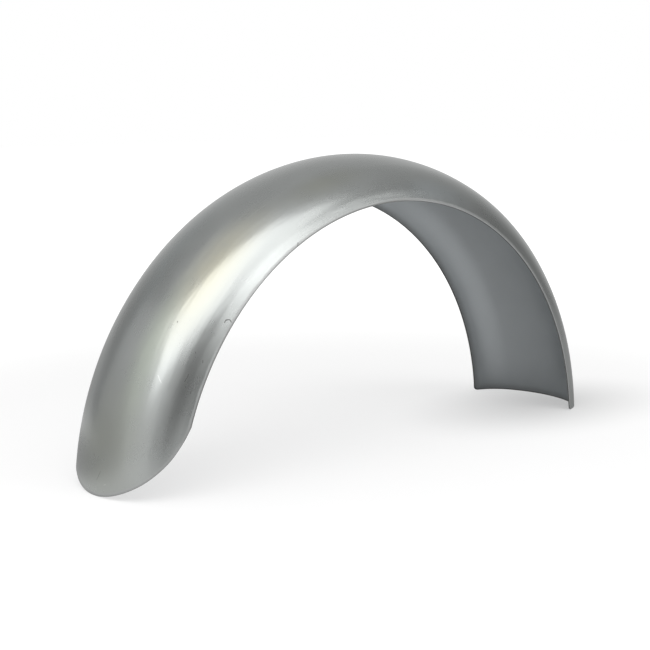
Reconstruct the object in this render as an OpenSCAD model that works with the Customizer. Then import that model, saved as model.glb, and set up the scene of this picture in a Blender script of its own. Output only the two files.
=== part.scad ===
// Motorcycle rear fender, formed from one steel sheet as a circular arch over the wheel.
// Its rounded section is open towards the wheel, its front end is cut square and its tail is rounded.
// The origin is on the floor below the top of the arch, +X points to the front end and +Z points up.

/* [Arch] */
// Radius of the crown's outer face about the wheel's axis
crown_radius = 342; // [300:1:420]
// Height of both ends above the wheel's axis
end_height = 21.5; // [5:0.5:60]

/* [Section] */
// Width across the outer edges
fender_width = 160; // [140:1:190]
// Thickness of the sheet
sheet = 2; // [1:0.25:4]
// Radius of the section's outer face across the crown
crown_arc = 122; // [100:1:180]
// Radius of the section's outer face at each shoulder
shoulder_arc = 52; // [30:1:60]
// Slope of the straight flanks against the wheel's axis, in degrees
flank_slope = 68; // [58:1:80]
// Length of the straight flank below each shoulder
flank_length = 10; // [4:1:25]

/* [Front end] */
// Radius of the two corners where the square cut meets the long edges
front_corner = 4; // [1:0.5:12]

/* [Tail] */
// Radius of the outline round the tip, seen from behind
tail_arc = 103; // [85:1:150]
// Radius of the outline at each corner of the tail
tail_corner = 48; // [25:1:55]
// Radius of the outline where it runs out into the long edges
tail_side = 177; // [120:5:300]
// Slope at which the corner hands over to the side, in degrees
tail_turn = 77; // [70:1:82]

/* [Hidden] */
$fn = 240;

// Largest turn between two points along an arc of an outline, in degrees
arc_step = 3;
// Length that a cut runs past a face
past = 4;
// How far beyond the long edge the tail's outline would run, so that it crosses the edge
tail_overrun = 0.5;

half_width = fender_width / 2;
cut_side = half_width + past;

// Slope at which a wide arc hands over to a tighter one, so that the pair spans the reach given
function handover(reach, wide, tight, slope) = asin((reach - tight * sin(slope)) / (wide - tight));
// A vector of the given length and direction
function along(length, angle) = length * [cos(angle), sin(angle)];
// Points along an arc, without the one where it starts
function arc_points(centre, radius, from, to) =
    let (steps = ceil((to - from) / arc_step))
    [for (i = [1:steps]) centre + along(radius, from + (to - from) * i / steps)];
// A whole outline from its right half, which starts on the centre line
function across(half) = concat([for (i = [len(half) - 1:-1:1]) [half[i].x, -half[i].y]], half);
function reversed(points) = [for (i = [len(points) - 1:-1:0]) points[i]];

// The section is drawn with the distance from the wheel's axis along x and the width along y
shoulder_turn = handover(half_width - flank_length * cos(flank_slope), crown_arc, shoulder_arc, flank_slope);
crown_centre = [crown_radius - crown_arc, 0];
shoulder_centre = crown_centre + along(crown_arc - shoulder_arc, shoulder_turn);

// Half of one face of the sheet, moved in from the outer face by the inset
function half_face(inset) =
    let (
        crown = arc_points(crown_centre, crown_arc - inset, 0, shoulder_turn),
        shoulder = arc_points(shoulder_centre, shoulder_arc - inset, shoulder_turn, flank_slope),
        edge = shoulder[len(shoulder) - 1] + along(flank_length, flank_slope + 90)
    )
    concat([[crown_radius - inset, 0]], crown, shoulder, [edge]);

outer_half = half_face(0);
// Distance of the long edges from the wheel's axis, at their outer corner
edge_radius = outer_half[len(outer_half) - 1].x;

// The tail's outline is drawn with the depth below the tip along x and the width along y
tail_reach = half_width + tail_overrun - tail_side * (1 - sin(tail_turn));
corner_turn = handover(tail_reach, tail_arc, tail_corner, tail_turn);
tail_centre = [-tail_arc, 0];
corner_centre = tail_centre + along(tail_arc - tail_corner, corner_turn);
side_centre = corner_centre - along(tail_side - tail_corner, tail_turn);
half_tail = concat(
    [[0, 0]],
    arc_points(tail_centre, tail_arc, 0, corner_turn),
    arc_points(corner_centre, tail_corner, corner_turn, tail_turn),
    arc_points(side_centre, tail_side, tail_turn, 90)
);
// Height above the tip at which the outline's sides stand upright
tail_height = -side_centre.x;

// The sheet's section: a crown with a shoulder and a straight flank on each side
module section() {
    polygon(concat(across(outer_half), reversed(across(half_face(sheet)))));
}

// The section swept through half a turn about the wheel's axis
module arch() {
    translate([0, 0, -end_height]) rotate([90, 0, 0]) rotate_extrude(angle = 180) section();
}

// What the rounded outline takes off the tail
module tail_trim() {
    below = end_height + past;
    corners = [[-tail_height, cut_side], [below, cut_side], [below, -cut_side], [-tail_height, -cut_side]];
    length = crown_radius + past;
    translate([-length, 0, 0]) rotate([0, 90, 0]) linear_extrude(length)
        polygon(concat(across(half_tail), corners));
}

// What the square cut takes off the front end
module front_trim() {
    below = end_height + past;
    translate([0, -cut_side, -below]) cube([crown_radius + past, cut_side * 2, below]);
}

// What rounds the two front corners, where the cut meets the long edges
module front_corner_trim() {
    from_axis = edge_radius + front_corner;
    rise = asin((end_height + front_corner) / from_axis);
    centre = [from_axis * cos(rise), front_corner];
    touch = along(edge_radius, rise) - [0, end_height];
    inside = touch.x - past;
    translate([0, cut_side, 0]) rotate([90, 0, 0]) linear_extrude(cut_side * 2)
        difference() {
            polygon([centre, [centre.x, -past], [inside, -past], [inside, touch.y], touch]);
            translate(centre) circle(front_corner);
        }
}

module rear_fender() {
    color([0.6, 0.61, 0.62])
        difference() {
            arch();
            tail_trim();
            front_trim();
            front_corner_trim();
        }
}

rear_fender();
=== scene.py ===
"""Looks of the motorcycle rear fender: one bare formed-steel sheet, standing on a pale studio floor."""
import logging
import math
from dataclasses import dataclass, field
from enum import Enum
from typing import Any

import bmesh
import bpy
import numpy as np
from mathutils import Matrix, Vector, kdtree


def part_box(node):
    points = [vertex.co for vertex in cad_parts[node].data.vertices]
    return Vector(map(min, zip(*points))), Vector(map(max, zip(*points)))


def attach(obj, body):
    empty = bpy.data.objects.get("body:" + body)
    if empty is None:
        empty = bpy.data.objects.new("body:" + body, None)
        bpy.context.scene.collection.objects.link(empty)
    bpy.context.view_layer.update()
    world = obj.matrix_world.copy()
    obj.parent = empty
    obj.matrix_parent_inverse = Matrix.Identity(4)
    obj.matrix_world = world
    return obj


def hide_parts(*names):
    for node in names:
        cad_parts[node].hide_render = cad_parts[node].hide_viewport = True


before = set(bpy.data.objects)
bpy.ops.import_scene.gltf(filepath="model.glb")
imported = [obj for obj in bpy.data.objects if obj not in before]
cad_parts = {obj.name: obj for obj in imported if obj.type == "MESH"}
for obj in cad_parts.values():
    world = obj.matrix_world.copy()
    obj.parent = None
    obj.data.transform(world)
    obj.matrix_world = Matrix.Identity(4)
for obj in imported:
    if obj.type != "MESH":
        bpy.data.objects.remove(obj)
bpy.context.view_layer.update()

LOG = logging.getLogger("rear_fender")
NODE = "rear_fender"
BODY = "root"
PLACE = "sheet_place"
DEPTH = "sheet_depth"
MM = 0.001
NOISE_MIDDLE = 0.5
MIX_FACTOR, MIX_FIRST, MIX_SECOND = 0, 6, 7
MIX_RESULT = 2

Colour = tuple[float, float, float, float]


def grey(level: float) -> Colour:
    """A neutral colour of that level."""
    return (level, level, level, 1.0)


class Face(Enum):
    """The two faces of the sheet."""

    OUTER = "outer"
    INNER = "inner"


@dataclass(frozen=True)
class Section:
    """The section across the fender: a crown with a shoulder and a straight flank on each side.

    The section lies in a plane through the wheel's axis. A point of it has a distance from that axis and a
    place across, and is found from its run, the length along the outer face from the centre line.
    """

    crown_radius: float
    half_width: float
    sheet: float = 2 * MM
    crown_arc: float = 122 * MM
    shoulder_arc: float = 52 * MM
    flank_slope: float = math.radians(68)
    flank_length: float = 10 * MM

    @property
    def shoulder_turn(self) -> float:
        """Slope at which the crown hands over to the shoulder.

        Returns:
            The slope.
        """
        reach = self.half_width - self.flank_length * math.cos(self.flank_slope)
        rest = reach - self.shoulder_arc * math.sin(self.flank_slope)
        return math.asin(rest / (self.crown_arc - self.shoulder_arc))

    @property
    def crown_run(self) -> float:
        """Run at which the crown ends."""
        return self.crown_arc * self.shoulder_turn

    @property
    def shoulder_run(self) -> float:
        """Run at which the shoulder ends and the flank starts."""
        return self.crown_run + self.shoulder_arc * (self.flank_slope - self.shoulder_turn)

    @property
    def half_run(self) -> float:
        """Run of the long edge."""
        return self.shoulder_run + self.flank_length

    @property
    def crown_centre(self) -> float:
        """Distance of the crown arc's centre from the wheel's axis."""
        return self.crown_radius - self.crown_arc

    @property
    def shoulder_centre(self) -> tuple[float, float]:
        """Where the shoulder arc's centre lies.

        Returns:
            Its distance from the wheel's axis, and its place across.
        """
        offset = self.crown_arc - self.shoulder_arc
        turn = self.shoulder_turn
        return self.crown_centre + offset * math.cos(turn), offset * math.sin(turn)

    @property
    def edge_radius(self) -> float:
        """Distance of the long edge's outer corner from the wheel's axis."""
        return float(self.point(np.array([self.half_run]), 0.0)[0][0])

    def point(self, run: np.ndarray, depth: float) -> tuple[np.ndarray, np.ndarray]:
        """Finds points of the section.

        Args:
            run: Signed lengths along the outer face from the centre line.
            depth: Depth below the outer face.

        Returns:
            The distances from the wheel's axis, and the places across.
        """
        size = np.abs(run)
        turn = size / self.crown_arc
        bend = self.shoulder_turn + (size - self.crown_run) / self.shoulder_arc
        bend = np.minimum(bend, self.flank_slope)
        past = np.maximum(size - self.shoulder_run, 0.0)
        centre, aside = self.shoulder_centre
        on_crown = size <= self.crown_run
        radius = np.where(
            on_crown,
            self.crown_centre + (self.crown_arc - depth) * np.cos(turn),
            centre + (self.shoulder_arc - depth) * np.cos(bend) - past * math.sin(self.flank_slope),
        )
        across = np.where(
            on_crown,
            (self.crown_arc - depth) * np.sin(turn),
            aside + (self.shoulder_arc - depth) * np.sin(bend) + past * math.cos(self.flank_slope),
        )
        return radius, np.sign(run) * across

    def locate(self, radius: np.ndarray, across: np.ndarray) -> tuple[np.ndarray, np.ndarray]:
        """Finds where points lie on or in the sheet.

        Args:
            radius: Distances from the wheel's axis.
            across: Places across.

        Returns:
            The signed runs, and the depths below the outer face.
        """
        size = np.abs(across)
        centre, aside = self.shoulder_centre
        turn = np.arctan2(size, radius - self.crown_centre)
        bend = np.arctan2(size - aside, radius - centre)
        slope = self.flank_slope
        past = (size - aside) * math.cos(slope) - (radius - centre) * math.sin(slope)
        out = (radius - centre) * math.cos(slope) + (size - aside) * math.sin(slope)
        regions = [turn <= self.shoulder_turn, past <= 0.0]
        run = np.select(
            regions,
            [self.crown_arc * turn, self.crown_run + self.shoulder_arc * (bend - self.shoulder_turn)],
            self.shoulder_run + past,
        )
        depth = np.select(
            regions,
            [
                self.crown_arc - np.hypot(radius - self.crown_centre, size),
                self.shoulder_arc - np.hypot(radius - centre, size - aside),
            ],
            self.shoulder_arc - out,
        )
        return np.sign(across) * run, depth


@dataclass(frozen=True)
class TailOutline:
    """The tail's rounded outline, seen from behind: an arc round the tip, a corner and a side."""

    half_width: float
    tip_arc: float = 103 * MM
    corner_arc: float = 48 * MM
    side_arc: float = 177 * MM
    side_turn: float = math.radians(77)
    overrun: float = 0.5 * MM

    @property
    def corner_turn(self) -> float:
        """Slope at which the tip's arc hands over to the corner.

        Returns:
            The slope.
        """
        reach = self.half_width + self.overrun - self.side_arc * (1 - math.sin(self.side_turn))
        rest = reach - self.corner_arc * math.sin(self.side_turn)
        return math.asin(rest / (self.tip_arc - self.corner_arc))

    def height(self, across: np.ndarray) -> np.ndarray:
        """Finds the outline's height.

        Args:
            across: Places across.

        Returns:
            The heights of the outline above the floor.
        """
        size = np.abs(across)
        offset = self.tip_arc - self.corner_arc
        corner_y = offset * math.sin(self.corner_turn)
        corner_z = self.tip_arc - offset * math.cos(self.corner_turn)
        back = self.side_arc - self.corner_arc
        side_y = corner_y - back * math.sin(self.side_turn)
        side_z = corner_z + back * math.cos(self.side_turn)

        def below(centre_y: float, centre_z: float, arc: float) -> np.ndarray:
            """Height of the lower half of a circle."""
            return centre_z - np.sqrt(np.maximum(arc**2 - (size - centre_y) ** 2, 0.0))

        tip_end = self.tip_arc * math.sin(self.corner_turn)
        corner_end = corner_y + self.corner_arc * math.sin(self.side_turn)
        return np.where(
            size <= tip_end,
            below(0.0, self.tip_arc, self.tip_arc),
            np.where(
                size <= corner_end,
                below(corner_y, corner_z, self.corner_arc),
                below(side_y, side_z, self.side_arc),
            ),
        )


@dataclass(frozen=True)
class FrontCut:
    """The square cut at the front end, with a small corner where it meets each long edge."""

    edge_radius: float
    end_height: float
    corner: float = 4 * MM

    def height(self, radius: np.ndarray) -> np.ndarray:
        """Finds where the cut passes.

        Args:
            radius: Distances from the wheel's axis.

        Returns:
            The heights of the cut above the floor.
        """
        centre = self.edge_radius + self.corner
        rise = math.asin((self.end_height + self.corner) / centre)
        flat_from = math.hypot(centre * math.cos(rise), self.end_height)
        touch = self.edge_radius * math.sin(rise) - self.end_height
        cosine = (centre**2 + radius**2 - self.corner**2) / (2 * centre * radius)
        turn = rise - np.arccos(np.clip(cosine, -1.0, 1.0))
        rounded = radius * np.sin(turn) - self.end_height
        return np.where(radius <= self.edge_radius, touch, np.where(radius < flat_from, rounded, 0.0))


@dataclass(frozen=True)
class HandForming:
    """The slight unevenness that forming and dressing by hand leave in the sheet."""

    deepest: float = 0.22 * MM
    waves: int = 14
    longest: float = 260 * MM
    shortest: float = 45 * MM
    seed: int = 7

    def depth(self, along: np.ndarray, run: np.ndarray) -> np.ndarray:
        """Finds how far the sheet lies inside its true form.

        Args:
            along: Lengths along the arch.
            run: Lengths across the sheet.

        Returns:
            The depths, from none to the deepest.
        """
        draw = np.random.default_rng(self.seed)
        total = np.zeros_like(along)
        weight = 0.0
        for step in range(self.waves):
            share = step / (self.waves - 1)
            length = self.longest * (self.shortest / self.longest) ** share
            heading = draw.uniform(0, math.pi)
            phase = draw.uniform(0, 2 * math.pi)
            size = length / self.longest
            total += size * np.sin(
                2 * math.pi * (along * math.cos(heading) + run * math.sin(heading)) / length + phase
            )
            weight += size
        return self.deepest * (0.5 + 0.5 * total / weight)


@dataclass
class FenderSheet:
    """The fender: one sheet with its two faces, its cut ends and its dressed edges."""

    crown_radius: float
    end_height: float
    half_width: float
    rows: int = 330
    columns: int = 112
    end_step: float = 1.2 * MM
    edge_steps: tuple[float, ...] = (0.45 * MM, 1.1 * MM, 2.0 * MM, 3.1 * MM, 4.3 * MM)
    end_gap: float = 2.5
    end_rows: int = 2
    edge_round: float = 0.35 * MM
    round_steps: int = 3
    round_profile: float = 0.5
    forming: HandForming = field(default_factory=HandForming)
    forming_from: float = 12 * MM

    @classmethod
    def from_frame(cls) -> "FenderSheet":
        """Takes the fender's sizes from the CAD node's box.

        Returns:
            The fender.
        """
        low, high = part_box(NODE)
        across = high[0] ** 2 / high[2]
        return cls(
            crown_radius=(across + high[2]) / 2,
            end_height=(across - high[2]) / 2,
            half_width=(high[1] - low[1]) / 2,
        )

    @property
    def section(self) -> Section:
        """The fender's section."""
        return Section(self.crown_radius, self.half_width)

    @property
    def tail(self) -> TailOutline:
        """The fender's tail outline."""
        return TailOutline(self.half_width)

    @property
    def front(self) -> FrontCut:
        """The fender's front cut."""
        return FrontCut(self.section.edge_radius, self.end_height)

    def runs(self) -> np.ndarray:
        """Lays out the grid's columns, closer together beside the long edges.

        Returns:
            Their runs.
        """
        half = self.section.half_run
        inner = half - self.edge_steps[-1]
        count = self.columns - 2 * len(self.edge_steps)
        middle = np.linspace(-inner, inner, count)
        sides = half - np.array((0.0,) + self.edge_steps[:-1])
        return np.concatenate([-sides, middle, sides[::-1]])

    def shares(self) -> np.ndarray:
        """Lays out the grid's rows, closer together at both ends.

        Returns:
            Their shares of the way from the front cut to the tail.
        """
        first = self.end_step / (math.pi * self.crown_radius)
        second = self.end_gap * first
        middle = np.linspace(second, 1 - second, self.rows - 2 * self.end_rows)
        return np.concatenate([[0.0, first], middle, [1 - first, 1.0]])

    def grid(self, face: Face) -> np.ndarray:
        """Lays out one face of the sheet, with the tail cut at right angles to the sheet.

        Args:
            face: Which face.

        Returns:
            The points as rows by columns by three.
        """
        depth = 0.0 if face is Face.OUTER else self.section.sheet
        radius, across = self.section.point(self.runs(), depth)
        first = np.arcsin((self.end_height + self.front.height(radius)) / radius)
        outer_radius, outer_across = self.section.point(self.runs(), 0.0)
        cut = np.arcsin((self.end_height + self.tail.height(outer_across)) / outer_radius)
        last = math.pi - np.maximum(cut, np.arcsin(self.end_height / radius))
        turn = first + (last - first) * self.shares()[:, None]
        height = radius * np.sin(turn) - self.end_height
        places = np.broadcast_to(across, turn.shape)
        return np.stack([radius * np.cos(turn), places, height], axis=-1)

    def shell(self) -> bmesh.types.BMesh:
        """Joins the two faces round their rim and rounds the rim's corners.

        Returns:
            The closed mesh.
        """
        mesh = bmesh.new()
        verts = {}
        for face in Face:
            points = self.grid(face)
            verts[face] = [[mesh.verts.new(point) for point in row] for row in points]
            for low, high in zip(verts[face], verts[face][1:]):
                for place in range(len(low) - 1):
                    ring = [low[place], low[place + 1], high[place + 1], high[place]]
                    mesh.faces.new(ring if face is Face.OUTER else ring[::-1])
        rims = {face: self.rim_of(rows) for face, rows in verts.items()}
        outer, inner = rims[Face.OUTER], rims[Face.INNER]
        corners = []
        for place in range(len(outer)):
            after = (place + 1) % len(outer)
            mesh.faces.new([outer[after], outer[place], inner[place], inner[after]])
            corners += [mesh.edges.get((rim[place], rim[after])) for rim in (outer, inner)]
        bmesh.ops.bevel(
            mesh, geom=corners, offset=self.edge_round, offset_type="OFFSET", segments=self.round_steps,
            profile=self.round_profile, affect="EDGES", clamp_overlap=False, loop_slide=True,
        )
        bmesh.ops.recalc_face_normals(mesh, faces=mesh.faces)
        return mesh

    @staticmethod
    def rim_of(rows: list[list[Any]]) -> list[Any]:
        """Picks the grid's points round its rim.

        Args:
            rows: The grid, as rows of points.

        Returns:
            The points of the rim, in order.
        """
        right = [row[-1] for row in rows[1:-1]]
        left = [row[0] for row in rows[-2:0:-1]]
        return rows[0] + right + rows[-1][::-1] + left

    def place_on_sheet(self, points: np.ndarray) -> tuple[np.ndarray, np.ndarray, np.ndarray]:
        """Finds where points lie on the sheet.

        Args:
            points: The points.

        Returns:
            The lengths along the arch from the front, the signed runs across it, and the depths.
        """
        up = points[:, 2] + self.end_height
        along = np.arctan2(up, points[:, 0]) * self.crown_radius
        run, depth = self.section.locate(np.hypot(points[:, 0], up), points[:, 1])
        return along, run, depth

    def rim_distance(self, points: np.ndarray) -> np.ndarray:
        """Measures how far points lie from the nearest cut edge of the sheet.

        Args:
            points: The points.

        Returns:
            The distances.
        """
        rims = [np.array(self.rim_of(self.grid(face).tolist())) for face in Face]
        rim = np.concatenate(rims)
        tree = kdtree.KDTree(len(rim))
        for index, point in enumerate(rim):
            tree.insert(point, index)
        tree.balance()
        return np.array([tree.find(point)[2] for point in points])

    def build(self) -> bpy.types.Object:
        """Makes the fender's mesh object, with its places on the sheet kept for the finish.

        Returns:
            The object.
        """
        mesh = bpy.data.meshes.new("fender_sheet")
        shell = self.shell()
        shell.to_mesh(mesh)
        shell.free()
        count = len(mesh.vertices)
        points = np.empty(count * 3)
        mesh.vertices.foreach_get("co", points)
        points = points.reshape(count, 3)
        along, run, depth = self.place_on_sheet(points)
        distance = self.rim_distance(points)
        centre, _ = self.section.shoulder_centre
        towards = points - np.stack([
            centre * np.cos(along / self.crown_radius),
            np.zeros(count),
            centre * np.sin(along / self.crown_radius) - self.end_height,
        ], axis=-1)
        towards /= np.linalg.norm(towards, axis=1)[:, None]
        fade = np.clip(points[:, 2] / self.forming_from, 0.0, 1.0)[:, None]
        points = points - towards * self.forming.depth(along, run)[:, None] * fade
        mesh.vertices.foreach_set("co", points.ravel())
        attribute = mesh.attributes.new(PLACE, "FLOAT_VECTOR", "POINT")
        attribute.data.foreach_set("vector", np.stack([along, run, distance], axis=-1).ravel())
        attribute = mesh.attributes.new(DEPTH, "FLOAT", "POINT")
        attribute.data.foreach_set("value", depth)
        mesh.polygons.foreach_set("use_smooth", np.ones(len(mesh.polygons), dtype=bool))
        mesh.update()
        piece = bpy.data.objects.new("fender_sheet", mesh)
        bpy.context.scene.collection.objects.link(piece)
        return piece


@dataclass(frozen=True)
class Grain:
    """Even noise: how fine it is, how much finer detail it has, and how rough that detail is."""

    scale: float
    detail: float = 2.0
    rough: float = 0.5


class Wire:
    """A number that a shader socket carries. Arithmetic on it adds Math nodes."""

    def __init__(self, graph: "Graph", socket: bpy.types.NodeSocket) -> None:
        """Wraps the socket of a graph."""
        self.graph = graph
        self.socket = socket

    def math(self, operation: str, *others: Any, first: Any = None) -> "Wire":
        """Adds one Math node.

        Args:
            operation: The node's operation.
            others: The numbers after this one.
            first: A number that goes before this one, in place of the others.

        Returns:
            The node's result.
        """
        values = (self, *others) if first is None else (first, self)
        made = self.graph.node("ShaderNodeMath", {"operation": operation}, dict(enumerate(values)))
        return Wire(self.graph, made.outputs[0])

    def __add__(self, other: Any) -> "Wire":
        """Sum."""
        return self.math("ADD", other)

    def __sub__(self, other: Any) -> "Wire":
        """Difference."""
        return self.math("SUBTRACT", other)

    def __rsub__(self, other: Any) -> "Wire":
        """Difference, with the number first."""
        return self.math("SUBTRACT", first=other)

    def __mul__(self, other: Any) -> "Wire":
        """Product."""
        return self.math("MULTIPLY", other)

    def __truediv__(self, other: Any) -> "Wire":
        """Quotient."""
        return self.math("DIVIDE", other)

    __radd__ = __add__
    __rmul__ = __mul__

    def larger(self, other: Any) -> "Wire":
        """The larger of two numbers."""
        return self.math("MAXIMUM", other)

    def smaller(self, other: Any) -> "Wire":
        """The smaller of two numbers."""
        return self.math("MINIMUM", other)

    def clamped(self) -> "Wire":
        """The number held between 0 and 1."""
        made = self.graph.node("ShaderNodeClamp", None, {"Value": self})
        return Wire(self.graph, made.outputs[0])

    def ramp(self, start: Any, end: Any) -> "Wire":
        """Adds a smooth step.

        Args:
            start: The number at which the step starts.
            end: The number at which it ends, on either side of the start.

        Returns:
            0 at the start and beyond it, and 1 at the end and beyond it.
        """
        values = {"Value": self, "From Min": start, "From Max": end}
        made = self.graph.node("ShaderNodeMapRange", {"interpolation_type": "SMOOTHSTEP"}, values)
        return Wire(self.graph, made.outputs[0])


class Graph:
    """The nodes of one material or of the world."""

    def __init__(self, tree: bpy.types.NodeTree) -> None:
        """Empties the tree and fills it anew."""
        self.tree = tree
        tree.nodes.clear()

    def node(
        self, kind: str, settings: dict[str, Any] | None = None, sockets: dict[Any, Any] | None = None
    ) -> bpy.types.Node:
        """Adds one node.

        Args:
            kind: The node's type.
            settings: The node's own settings, which are set first.
            sockets: Values or links for its input sockets, by name or number.

        Returns:
            The node.
        """
        made = self.tree.nodes.new(kind)
        for name, value in (settings or {}).items():
            setattr(made, name, value)
        for key, value in (sockets or {}).items():
            source = value.socket if isinstance(value, Wire) else value
            if isinstance(source, bpy.types.NodeSocket):
                self.tree.links.new(source, made.inputs[key])
            else:
                made.inputs[key].default_value = source
        return made

    def split(self, vector: bpy.types.NodeSocket) -> tuple[Wire, Wire, Wire]:
        """The three parts of a vector."""
        made = self.node("ShaderNodeSeparateXYZ", None, {0: vector})
        return tuple(Wire(self, made.outputs[place]) for place in range(3))

    def vector(self, operation: str, *values: Any) -> bpy.types.NodeSocket:
        """One Vector Math node's vector."""
        made = self.node("ShaderNodeVectorMath", {"operation": operation}, dict(enumerate(values)))
        return made.outputs["Vector"]

    def measure(self, operation: str, *values: Any) -> Wire:
        """One Vector Math node's number, such as a length or a dot product."""
        made = self.node("ShaderNodeVectorMath", {"operation": operation}, dict(enumerate(values)))
        return Wire(self, made.outputs["Value"])

    def noise(self, place: bpy.types.NodeSocket, grain: Grain) -> Wire:
        """Noise between 0 and 1 at a place."""
        values = {"Vector": place, "Scale": grain.scale, "Detail": grain.detail, "Roughness": grain.rough}
        return Wire(self, self.node("ShaderNodeTexNoise", None, values).outputs["Fac"])

    def oval(
        self,
        place: bpy.types.NodeSocket,
        centre: tuple[float, float, float],
        reach: tuple[float, float, float],
        start: float,
        end: float,
    ) -> Wire:
        """Marks an oval.

        Args:
            place: The place.
            centre: The oval's centre.
            reach: The oval's half lengths.
            start: Where the smooth step starts, as a share of the reach.
            end: Where it ends, in the same way.

        Returns:
            A smooth step from 0 at the start to 1 at the end.
        """
        offset = self.vector("SUBTRACT", place, centre)
        return self.measure("LENGTH", self.vector("DIVIDE", offset, reach)).ramp(start, end)

    def tint(self, factor: Any, first: Any, second: Any, blend: str = "MIX") -> bpy.types.NodeSocket:
        """Blends two colours.

        Args:
            factor: How much of the second colour.
            first: The first colour or link.
            second: The second colour or link.
            blend: How the second colour is laid over the first.

        Returns:
            The blended colour.
        """
        made = self.node(
            "ShaderNodeMix",
            {"data_type": "RGBA", "blend_type": blend},
            {MIX_FACTOR: factor, MIX_FIRST: first, MIX_SECOND: second},
        )
        return made.outputs[MIX_RESULT]

    def seen_rays(self) -> tuple[Wire, Wire]:
        """Finds the rays that show the background.

        Returns:
            Whether a ray is the camera's or has come through clear matter, and whether it is gloss.
        """
        made = self.node("ShaderNodeLightPath")
        names = ("Is Camera Ray", "Is Transmission Ray", "Is Glossy Ray")
        camera, clear, gloss = (Wire(self, made.outputs[name]) for name in names)
        return (camera + clear).smaller(1.0), gloss


@dataclass(frozen=True)
class Stroke:
    """A short straight scratch on the outer face, between two places along the arch and across it."""

    start: tuple[float, float]
    end: tuple[float, float]
    width: float = 0.5 * MM
    core: float = 0.3

    def mask(self, graph: Graph, place: bpy.types.NodeSocket) -> Wire:
        """Marks the scratch.

        Args:
            graph: The finish's nodes.
            place: The flat place on the sheet.

        Returns:
            1 in the scratch, and 0 away from it.
        """
        reach = Vector((self.end[0] - self.start[0], self.end[1] - self.start[1], 0.0))
        offset = graph.vector("SUBTRACT", place, (*self.start, 0.0))
        share = (graph.measure("DOT_PRODUCT", offset, reach) / reach.length_squared).clamped()
        nearest = graph.node("ShaderNodeVectorMath", {"operation": "SCALE"}, {0: reach, "Scale": share})
        distance = graph.measure("DISTANCE", offset, nearest.outputs["Vector"])
        return distance.ramp(self.width, self.core * self.width)


@dataclass(frozen=True)
class StainOrPaintedLight:
    """A soft cast of another colour round a place on the outer face, which noise breaks up; used for stains
    and for painted light and shade.
    """

    colour: Colour
    centre: tuple[float, float]
    reach: tuple[float, float]
    strength: float
    steady: float = 0.4
    broken: float = 1.2

    def mask(self, graph: Graph, place: bpy.types.NodeSocket, noise: Wire) -> Wire:
        """Marks the cast.

        Args:
            graph: The finish's nodes.
            place: The flat place on the sheet.
            noise: Noise that breaks the cast up.

        Returns:
            The cast's share of the colour.
        """
        oval = graph.oval(place, (*self.centre, 0.0), (*self.reach, 1.0), 1.0, 0.0)
        return oval * self.strength * (self.steady + self.broken * noise).clamped()


@dataclass(frozen=True)
class Brushing:
    """Fine lines that run one way, given by how fast they change along their length and across it."""

    slow: float
    fast: float
    grain: Grain = Grain(1.0, 2.0, 0.6)

    def lines(self, graph: Graph, lengthways: Wire, crossways: Wire) -> Wire:
        """Lays the lines over the sheet.

        Args:
            graph: The finish's nodes.
            lengthways: The place along the lines.
            crossways: The place across the lines.

        Returns:
            The lines, as a number between 0 and 1.
        """
        places = {"X": lengthways * self.slow, "Y": crossways * self.fast}
        return graph.noise(graph.node("ShaderNodeCombineXYZ", None, places).outputs[0], self.grain)


@dataclass(frozen=True)
class EdgeBand:
    """A band beside the cut edges, whose border wanders along the arch."""

    width: float
    wander: float
    grain: Grain
    border: tuple[float, float]

    def mask(self, graph: Graph, along: Wire, edge: Wire) -> Wire:
        """Marks the band.

        Args:
            graph: The finish's nodes.
            along: The place along the arch.
            edge: The distance from the nearest cut edge.

        Returns:
            1 in the band, and 0 away from the edges.
        """
        line = graph.node("ShaderNodeCombineXYZ", None, {"X": along}).outputs[0]
        width = self.width + self.wander * (graph.noise(line, self.grain) - NOISE_MIDDLE)
        return (edge / width).ramp(*self.border)


@dataclass(frozen=True)
class SheetSpot:
    """A point of the sheet as the finish sees it: its place in space and on the sheet, and its face."""

    space: bpy.types.NodeSocket
    flat: bpy.types.NodeSocket
    along: Wire
    run: Wire
    edge: Wire
    inner: Wire
    outer: Wire


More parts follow.
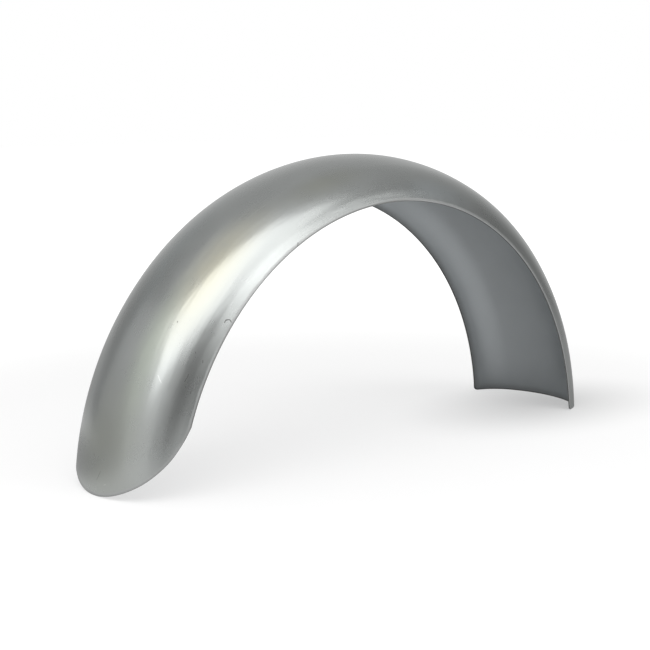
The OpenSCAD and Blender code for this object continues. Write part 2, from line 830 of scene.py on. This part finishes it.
@dataclass(frozen=True)
class RawSteel:
    """Bare formed steel, satin from hand finishing, with dressed edges, faint casts, fine marks and some
    painted light and shade.
    """

    name: str = "raw_steel"
    sheet: float = 2 * MM
    inner_face: tuple[float, float] = (0.55, 0.9)
    outer_face: tuple[float, float] = (0.45, 0.1)

    outside: Colour = (0.389, 0.404, 0.397, 1.0)
    inside: Colour = (0.43, 0.453, 0.465, 1.0)
    dressed: Colour = (0.41, 0.42, 0.415, 1.0)
    cut_edge: Colour = (0.17, 0.175, 0.18, 1.0)
    # Dark colour for the scratches and the line along the edges, and for the painted shade beside the edges
    # on the inner face.
    grime_and_painted_shade: Colour = (0.085, 0.085, 0.08, 1.0)
    grime_and_shade_cover: float = 0.8
    burr: Colour = (0.44, 0.45, 0.45, 1.0)
    glint: Colour = (0.72, 0.73, 0.72, 1.0)
    glint_share: float = 0.45

    roughness: float = 0.28
    inside_roughness: float = 0.44
    dressed_roughness: float = 0.46
    mark_roughness: float = 0.12

    cloud: Grain = Grain(9.0)
    mottle: Grain = Grain(38.0, 4.0, 0.6)
    brushed: Brushing = Brushing(55.0, 1900.0)
    shade_shares: tuple[float, float, float] = (0.16, 0.08, 0.03)
    rough_shares: tuple[float, float, float] = (0.08, 0.06, 0.03)

    dressed_band: EdgeBand = EdgeBand(3.4 * MM, 2.6 * MM, Grain(60.0, 3.0, 0.6), (1.15, 0.8))
    burr_band: EdgeBand = EdgeBand(1.8 * MM, 2.8 * MM, Grain(130.0, 3.0, 0.7), (1.2, 0.8))
    burr_reach: tuple[float, float] = (0.56, 0.46)
    line_width: float = 2.2 * MM
    line_core: float = 0.4
    line_depth: float = 0.6
    inner_line_depth: float = 0.9
    tail_from: tuple[float, float] = (0.97, 1.01)
    tail_clean: float = 0.55
    # Painted shade beside the edges on the inner face: how wide and how dark.
    painted_shade_width: float = 10.0 * MM
    painted_shade_depth: float = 0.5

    streaks: Brushing = Brushing(14.0, 95.0)
    streak_height: float = 1.8
    uneven_height: float = 4.2
    uneven_place: tuple[float, float, float] = (0.78, -0.065, 0.0)
    uneven_reach: tuple[float, float, float] = (0.22, 0.055, 1.0)
    uneven_fade: tuple[float, float] = (1.0, 0.3)
    mottle_height: float = 0.10
    brushed_height: float = 0.015
    dressing: Brushing = Brushing(160.0, 2600.0)
    dressing_height: float = 0.3
    mark_depth: float = 0.4
    bump_strength: float = 0.5
    bump_distance: float = 0.12 * MM
    wobble_scale: float = 260.0
    wobble_reach: float = 1.5 * MM

    # Casts of colour on the outer face. The first four and the sixth are tints and stains in the steel; the
    # fifth darkens it between the highlight and the near edge. The last four are painted light and shade.
    stains_and_painted_light: tuple[StainOrPaintedLight, ...] = (
        StainOrPaintedLight((0.44, 0.425, 0.335, 1.0), (0.800, -0.050), (0.13, 0.034), 0.75),
        StainOrPaintedLight((0.39, 0.43, 0.36, 1.0), (0.910, -0.034), (0.13, 0.026), 0.60),
        StainOrPaintedLight((0.38, 0.41, 0.41, 1.0), (0.800, 0.012), (0.16, 0.030), 0.60),
        StainOrPaintedLight((0.385, 0.40, 0.365, 1.0), (1.000, -0.010), (0.09, 0.070), 0.80),
        StainOrPaintedLight((0.30, 0.31, 0.305, 1.0), (0.910, -0.080), (0.080, 0.018), 0.9),
        StainOrPaintedLight((0.46, 0.49, 0.495, 1.0), (0.470, -0.088), (0.085, 0.022), 1.0),
        # Painted shade.
        StainOrPaintedLight((0.325, 0.337, 0.331, 1.0), (0.857, 0.034), (0.085, 0.034), 0.95),
        # Painted light.
        StainOrPaintedLight((0.44, 0.46, 0.455, 1.0), (0.952, 0.024), (0.045, 0.026), 0.8),
        # Painted light.
        StainOrPaintedLight((0.435, 0.452, 0.445, 1.0), (0.655, 0.002), (0.100, 0.028), 0.8),
        # Painted shade.
        StainOrPaintedLight((0.345, 0.355, 0.325, 1.0), (0.630, -0.057), (0.080, 0.024), 0.9),
    )
    strokes: tuple[Stroke, ...] = (
        Stroke((0.8428, -0.0920), (0.8392, -0.0920), 0.6 * MM),
        Stroke((0.8392, -0.0920), (0.8369, -0.0949), 0.6 * MM),
        Stroke((0.8369, -0.0949), (0.8381, -0.0977), 0.6 * MM),
        Stroke((0.7125, -0.1000), (0.7095, -0.0975), 0.6 * MM),
        Stroke((0.8640, -0.0500), (0.8652, -0.0506), 0.5 * MM),
        Stroke((0.8860, -0.0800), (0.8872, -0.0806), 0.5 * MM),
        Stroke((0.8910, -0.0900), (0.8935, -0.0905), 0.5 * MM),
        Stroke((0.9110, -0.0820), (0.9190, -0.0812), 0.45 * MM),
        Stroke((0.9260, -0.0900), (0.9290, -0.0902), 0.5 * MM),
        Stroke((1.0270, -0.0100), (1.0370, -0.0050), 0.22 * MM),
    )
    # Bright scratches: the glint they catch is painted into their colour, a painted highlight.
    glints: tuple[Stroke, ...] = (
        Stroke((0.9215, -0.0540), (0.9280, -0.0600), 0.5 * MM),
        Stroke((1.0385, -0.0190), (1.0400, -0.0165), 0.4 * MM),
    )

    def material(self) -> bpy.types.Material:
        """Makes the finish.

        Returns:
            The material.
        """
        made = bpy.data.materials.new(self.name)
        made.use_nodes = True
        graph = Graph(made.node_tree)
        spot = self.spot(graph)
        mottle = graph.noise(spot.space, self.mottle)
        brushed = self.brushed.lines(graph, spot.along, spot.run)
        noises = (graph.noise(spot.space, self.cloud), mottle, brushed)
        bent = self.bent(graph, spot)
        marks = self.marks(graph, bent, self.strokes) * spot.outer
        glints = self.marks(graph, bent, self.glints) * spot.outer
        band = self.dressed_band.mask(graph, spot.along, spot.edge) * spot.outer
        cut = (1 - spot.inner) * (1 - spot.outer)
        reach = spot.along.ramp(*self.burr_reach)
        burr = self.burr_band.mask(graph, spot.along, spot.edge) * reach * spot.outer
        # Scratches, the dark line along the edges and, on the inner face, painted shade beside them.
        marks_and_painted_shade = marks.larger(self.edge_line_and_shade(spot) * (1 - burr))

        colour = graph.tint(spot.inner, self.outside, self.inside)
        # Stains, and on four patches painted light and shade.
        for patch in self.stains_and_painted_light:
            colour = graph.tint(patch.mask(graph, spot.flat, mottle) * spot.outer, colour, patch.colour)
        colour = graph.tint(band, colour, self.dressed)
        colour = graph.tint(cut, colour, self.cut_edge)
        shade = 1 + self.spread(self.shade_shares, noises)
        shaded = graph.node("ShaderNodeCombineXYZ", None, {"X": shade, "Y": shade, "Z": shade})
        colour = graph.tint(1.0, colour, shaded.outputs[0], "MULTIPLY")
        # Lays the scratches, the edge line and the painted shade over the colour.
        colour = graph.tint(marks_and_painted_shade, colour, self.grime_and_painted_shade)
        colour = graph.tint(burr, colour, self.burr)
        # Painted highlight along the bright scratches.
        colour = graph.tint(self.glint_share * glints, colour, self.glint)

        rough = self.roughness + (self.inside_roughness - self.roughness) * spot.inner
        rough = rough + (self.dressed_roughness - rough) * (band + cut).clamped()
        rough = rough + self.spread(self.rough_shares, noises) + self.mark_roughness * marks

        height = self.streak_relief(graph, spot)
        height = height + self.mottle_height * mottle + self.brushed_height * brushed
        height = height + self.dressing_height * band * self.dressing.lines(graph, spot.run, spot.along)
        relief = {
            "Strength": self.bump_strength,
            "Distance": self.bump_distance,
            "Height": height - self.mark_depth * marks,
        }
        shader = graph.node(
            "ShaderNodeBsdfPrincipled",
            None,
            {
                "Base Color": colour,
                "Metallic": 1 - self.grime_and_shade_cover * marks_and_painted_shade,
                "Roughness": rough.clamped(),
                "Normal": graph.node("ShaderNodeBump", None, relief).outputs[0],
            },
        )
        graph.node("ShaderNodeOutputMaterial", None, {"Surface": shader.outputs[0]})
        return made

    def spot(self, graph: Graph) -> SheetSpot:
        """Reads where a point lies.

        Args:
            graph: The finish's nodes.

        Returns:
            The point.
        """
        space = graph.node("ShaderNodeTexCoord").outputs["Object"]
        place = graph.node("ShaderNodeAttribute", {"attribute_name": PLACE}).outputs["Vector"]
        depth = Wire(graph, graph.node("ShaderNodeAttribute", {"attribute_name": DEPTH}).outputs["Fac"])
        faces = (self.inner_face, self.outer_face)
        inner, outer = (depth.ramp(start * self.sheet, end * self.sheet) for start, end in faces)
        flat = graph.vector("MULTIPLY", place, (1.0, 1.0, 0.0))
        return SheetSpot(space, flat, *graph.split(place), inner, outer)

    def bent(self, graph: Graph, spot: SheetSpot) -> bpy.types.NodeSocket:
        """Bends the flat place a little, so that no scratch is quite straight.

        Args:
            graph: The finish's nodes.
            spot: The point.

        Returns:
            The bent place.
        """
        values = {"Vector": spot.space, "Scale": self.wobble_scale}
        wobble = graph.node("ShaderNodeTexNoise", None, values).outputs["Color"]
        offset = graph.vector("SUBTRACT", wobble, (NOISE_MIDDLE,) * 3)
        nudge = graph.vector("MULTIPLY", offset, (self.wobble_reach, self.wobble_reach, 0.0))
        return graph.vector("ADD", spot.flat, nudge)

    @staticmethod
    def spread(shares: tuple[float, ...], noises: tuple[Wire, ...]) -> Wire:
        """Adds up noises by their shares, each counted from its middle."""
        return sum(share * (noise - NOISE_MIDDLE) for share, noise in zip(shares, noises))

    def streak_relief(self, graph: Graph, spot: SheetSpot) -> Wire:
        """Raises the long streaks of the outer face, which are deepest beside the near edge.

        Args:
            graph: The finish's nodes.
            spot: The point.

        Returns:
            Their height.
        """
        uneven = graph.oval(spot.flat, self.uneven_place, self.uneven_reach, *self.uneven_fade)
        streaks = self.streaks.lines(graph, spot.along, spot.run)
        return (self.streak_height + self.uneven_height * uneven) * streaks * spot.outer

    def edge_line_and_shade(self, spot: SheetSpot) -> Wire:
        """Draws the dark line along every edge, faint at the tail, with painted shade beside it on the inner
        face.

        Args:
            spot: The point.

        Returns:
            How dark the line and the painted shade are.
        """
        depth = self.line_depth + (self.inner_line_depth - self.line_depth) * spot.inner
        depth = depth * (1 - self.tail_clean * spot.along.ramp(*self.tail_from))
        fine = spot.edge.ramp(self.line_width, self.line_core * self.line_width) * depth
        # Painted shade: the inner face is darkened within a band beside every edge, standing for the shade
        # that falls there.
        return fine.larger(spot.edge.ramp(self.painted_shade_width, 0.0) * spot.inner * self.painted_shade_depth)

    @staticmethod
    def marks(graph: Graph, place: bpy.types.NodeSocket, strokes: tuple[Stroke, ...]) -> Wire:
        """Marks the scratches that stand out by themselves.

        Args:
            graph: The finish's nodes.
            place: The place on the sheet.
            strokes: The scratches.

        Returns:
            1 in a scratch, and 0 away from them.
        """
        total = strokes[0].mask(graph, place)
        for stroke in strokes[1:]:
            total = total.larger(stroke.mask(graph, place))
        return total


@dataclass(frozen=True)
class Softbox:
    """A square soft lamp that faces the fender from a distance, seen at an azimuth and an elevation."""

    name: str
    azimuth: float
    elevation: float
    across: float
    tall: float
    level: float
    distance: float = 2.6
    aim: tuple[float, float, float] = (0.0, 0.0, 0.17)

    def build(self) -> bpy.types.Object:
        """Makes the lamp, as wide and tall as the angles that it spans from the fender.

        Returns:
            The lamp.
        """
        azimuth, elevation = math.radians(self.azimuth), math.radians(self.elevation)
        towards = Vector((
            math.sin(azimuth) * math.cos(elevation),
            -math.cos(azimuth) * math.cos(elevation),
            math.sin(elevation),
        ))
        lamp = bpy.data.lights.new(self.name, "AREA")
        lamp.shape = "RECTANGLE"
        lamp.size = 2 * self.distance * math.tan(math.radians(self.across) / 2)
        lamp.size_y = 2 * self.distance * math.tan(math.radians(self.tall) / 2)
        lamp.energy = self.level * math.pi * lamp.size * lamp.size_y
        made = bpy.data.objects.new(self.name, lamp)
        made.location = Vector(self.aim) + towards * self.distance
        made.rotation_euler = towards.to_track_quat("Z", "Y").to_euler()
        bpy.context.scene.collection.objects.link(made)
        return made


@dataclass(frozen=True)
class DarkSide:
    """A side on which less of the floor's white is seen in gloss, as if a dark card stood there."""

    towards: tuple[float, float, float]
    start: float
    end: float
    strength: float
    nearest: float = 0.0
    farthest: float = 40.0
    fade: float = 0.04

    def share(self, graph: Graph, heading: bpy.types.NodeSocket, distance: Wire) -> Wire:
        """Finds how much of the white this side takes away.

        Args:
            graph: The floor's nodes.
            heading: The heading of the place on the floor.
            distance: Its distance from the fender's middle.

        Returns:
            The share taken away.
        """
        side = graph.measure("DOT_PRODUCT", heading, self.towards).ramp(self.start, self.end) * self.strength
        outside = distance.ramp(self.nearest - self.fade, self.nearest + self.fade)
        return side * outside * distance.ramp(self.farthest + self.fade, self.farthest - self.fade)


@dataclass(frozen=True)
class Studio:
    """The pale floor, the lamps and the light round them."""

    floor_size: float = 16.0
    floor_drop: float = 0.2 * MM
    floor_colour: float = 0.36
    # Painted shadow on the floor round the front foot: its centre, its reach, and the white that still glows
    # at its middle.
    front_foot: tuple[float, float, float] = (0.29, -0.04, 0.0)
    painted_shadow_reach: tuple[float, float, float] = (0.24, 0.15, 1.0)
    painted_shadow_fill: float = 0.36
    # Painted shade round the fender: the white glow is lower near it and full from fill_to outwards.
    plain_fill: float = 0.61
    fill_from: float = 0.45
    fill_to: float = 1.5
    gloss_fill: float = 0.85
    dark_sides: tuple[DarkSide, ...] = (
        DarkSide((-0.82, 0.57, 0.0), 0.86, 1.0, 0.8),
        DarkSide((0.0, 1.0, 0.0), 0.86, 1.0, 0.75),
        DarkSide((0.996, -0.087, 0.0), 0.7, 1.0, 0.8, nearest=0.30),
        DarkSide((0.90, 0.43, 0.0), 0.86, 0.99, 0.68, farthest=0.40),
        DarkSide((-0.4, -0.92, 0.0), 0.7, 1.0, 0.3),
    )
    ambient: float = 0.16
    overhead: float = 0.51
    backdrop: float = 1.0
    backdrop_shine: float = 0.97
    backdrop_towards: tuple[float, float, float] = (0.656, 0.755, 0.0)
    backdrop_from: float = 0.4
    backdrop_to: float = 1.14
    backdrop_top: float = 1.1
    lamps: tuple[Softbox, ...] = (
        Softbox("top_softbox", -37.4, 50.5, 94, 41.5, 1.72),
        Softbox("right_strip", 21, 20.4, 47.5, 18.2, 2.1),
        Softbox("left_fill", -75.5, 42, 80, 92, 0.3),
        Softbox("low_fill", -107.6, 18, 90, 43, 0.34),
    )

    def floor(self) -> bpy.types.Object:
        """Makes the floor.

        Returns:
            The floor.
        """
        half = self.floor_size / 2
        corners = [(-half, -half), (half, -half), (half, half), (-half, half)]
        mesh = bpy.data.meshes.new("floor")
        mesh.from_pydata([(x, y, -self.floor_drop) for x, y in corners], [], [(0, 1, 2, 3)])
        made = bpy.data.objects.new("floor", mesh)
        bpy.context.scene.collection.objects.link(made)
        mesh.materials.append(self.floor_finish())
        return made

    def floor_finish(self) -> bpy.types.Material:
        """Makes the floor's finish, which turns white away from the fender, with painted shade near it and a
        painted shadow round the front foot.

        Returns:
            The material.
        """
        made = bpy.data.materials.new("pale_floor")
        made.use_nodes = True
        graph = Graph(made.node_tree)
        place = graph.node("ShaderNodeTexCoord").outputs["Object"]
        # Painted shadow round the front foot: 0 at its middle, 1 beyond its reach.
        clear = graph.oval(place, self.front_foot, self.painted_shadow_reach, 0.0, 1.0)
        distance = graph.measure("LENGTH", place)
        away = distance.ramp(self.fill_from, self.fill_to)
        heading = graph.vector("NORMALIZE", place)
        plain, gloss = graph.seen_rays()
        pale = self.gloss_fill * gloss
        for side in self.dark_sides:
            pale = pale * (1 - side.share(graph, heading, distance))
        # Painted shade and painted shadow: less white glows near the fender and round the front foot.
        white = self.painted_shadow_fill + (self.plain_fill - self.painted_shadow_fill) * clear + (1 - self.plain_fill) * away
        fill = (plain + pale).smaller(1.0) * white
        shader = graph.node(
            "ShaderNodeBsdfPrincipled",
            None,
            {
                "Base Color": grey(self.floor_colour),
                "Roughness": 1.0,
                "Specular IOR Level": 0.0,
                "Emission Color": graph.tint(fill, grey(0.0), grey(1.0)),
                "Emission Strength": 1.0,
            },
        )
        graph.node("ShaderNodeOutputMaterial", None, {"Surface": shader.outputs[0]})
        return made

    def surroundings(self) -> None:
        """Sets the world: an even grey for light, and a white backdrop behind the fender."""
        world = bpy.data.worlds.new("studio")
        world.use_nodes = True
        bpy.context.scene.world = world
        graph = Graph(world.node_tree)
        plain, gloss = graph.seen_rays()
        direction = graph.node("ShaderNodeTexCoord").outputs["Generated"]
        behind = graph.measure("DOT_PRODUCT", direction, self.backdrop_towards)
        height = graph.split(direction)[2]
        wall = behind.ramp(self.backdrop_from, self.backdrop_to) * (1 - height / self.backdrop_top).clamped()
        shown = (plain + gloss * wall * self.backdrop_shine).smaller(1.0)
        room = graph.tint(height, grey(self.ambient), grey(self.ambient + self.overhead))
        colour = graph.tint(shown, room, grey(self.backdrop))
        light = graph.node("ShaderNodeBackground", None, {"Color": colour, "Strength": 1.0})
        graph.node("ShaderNodeOutputWorld", None, {"Surface": light.outputs[0]})

    def build(self) -> None:
        """Makes the floor, the surroundings and the lamps."""
        self.floor()
        self.surroundings()
        for lamp in self.lamps:
            lamp.build()
        settings = bpy.context.scene.view_settings
        settings.view_transform = "Standard"


@dataclass(frozen=True)
class PhotoCamera:
    """The camera at the photograph's place, given round the fender's origin."""

    azimuth: float = -41.442
    elevation: float = 9.477
    roll: float = -0.225
    distance: float = 1.5779
    aside: float = -28.77 * MM
    above: float = 127.88 * MM
    focal_pixels: float = 1387.5
    frame_pixels: float = 650.0
    sensor: float = 36.0

    def build(self) -> bpy.types.Object:
        """Makes the camera and looks through it.

        Returns:
            The camera.
        """
        azimuth, elevation, roll = (math.radians(v) for v in (self.azimuth, self.elevation, self.roll))
        back = Vector((
            math.sin(azimuth) * math.cos(elevation),
            -math.cos(azimuth) * math.cos(elevation),
            math.sin(elevation),
        ))
        level = Vector((math.cos(azimuth), math.sin(azimuth), 0.0))
        upright = back.cross(level)
        right = level * math.cos(roll) + upright * math.sin(roll)
        up = upright * math.cos(roll) - level * math.sin(roll)
        lens = bpy.data.cameras.new("camera")
        lens.sensor_width = self.sensor
        lens.lens = self.sensor * self.focal_pixels / self.frame_pixels
        made = bpy.data.objects.new("camera", lens)
        turn = Matrix((right, up, back)).transposed().to_4x4()
        place = back * self.distance + level * self.aside + upright * self.above
        made.matrix_world = Matrix.Translation(place) @ turn
        bpy.context.scene.collection.objects.link(made)
        bpy.context.scene.camera = made
        return made


def main() -> None:
    """Builds the camera, the studio and the fender."""
    logging.basicConfig(level=logging.INFO, format="%(name)s: %(message)s")
    PhotoCamera().build()
    Studio().build()
    sheet = FenderSheet.from_frame()
    piece = sheet.build()
    piece.data.materials.append(RawSteel().material())
    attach(piece, BODY)
    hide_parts(NODE)
    LOG.info("%s: %d points, %d faces", piece.name, len(piece.data.vertices), len(piece.data.polygons))


if __name__ == "__main__":
    main()
